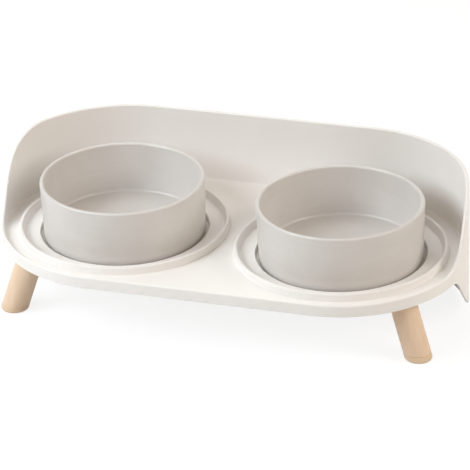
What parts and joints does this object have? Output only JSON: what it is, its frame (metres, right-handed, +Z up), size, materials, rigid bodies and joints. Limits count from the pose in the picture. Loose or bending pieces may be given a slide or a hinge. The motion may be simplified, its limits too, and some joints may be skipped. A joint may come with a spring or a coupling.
{
  "type": "raised double pet bowl",
  "caption": "Raised pet feeding station: an off-white moulded tray with a splash wall round its back and ends, splayed wooden front legs and loose round ceramic bowls standing in ringed wells.",
  "frame": {"origin": "on the ground, in the middle of the tray's length and depth", "axes": "+X along the row of bowls towards the right-hand bowl as seen from the front, +Y towards the splash wall at the back, +Z up"},
  "size_m": [0.374, 0.189, 0.1155],
  "materials": {
    "tray": "satin moulded",
    "bowl": "matt glaze",
    "leg": "clear matt varnish",
    "pad": "matt",
    "stud": "zinc plated",
    "insert": "plain"
  },
  "bodies": {
    "stand": {"tray_shell": "tray", "leg_left": "leg", "leg_right": "leg", "foot_pad_left": "pad", "foot_pad_right": "pad", "leg_stud_left": "stud", "leg_stud_right": "stud", "leg_insert_left": "insert", "leg_insert_right": "insert"},
    "bowl_left": {"bowl_left": "bowl"},
    "bowl_right": {"bowl_right": "bowl"}
  },
  "joints": [
    {"name": "bowl_left_lift", "type": "slide", "parent": "stand", "child": "bowl_left", "axis": [0, 0, 1], "range_m": [0, 0.07]},
    {"name": "bowl_right_lift", "type": "slide", "parent": "stand", "child": "bowl_right", "axis": [0, 0, 1], "range_m": [0, 0.07]}
  ]
}
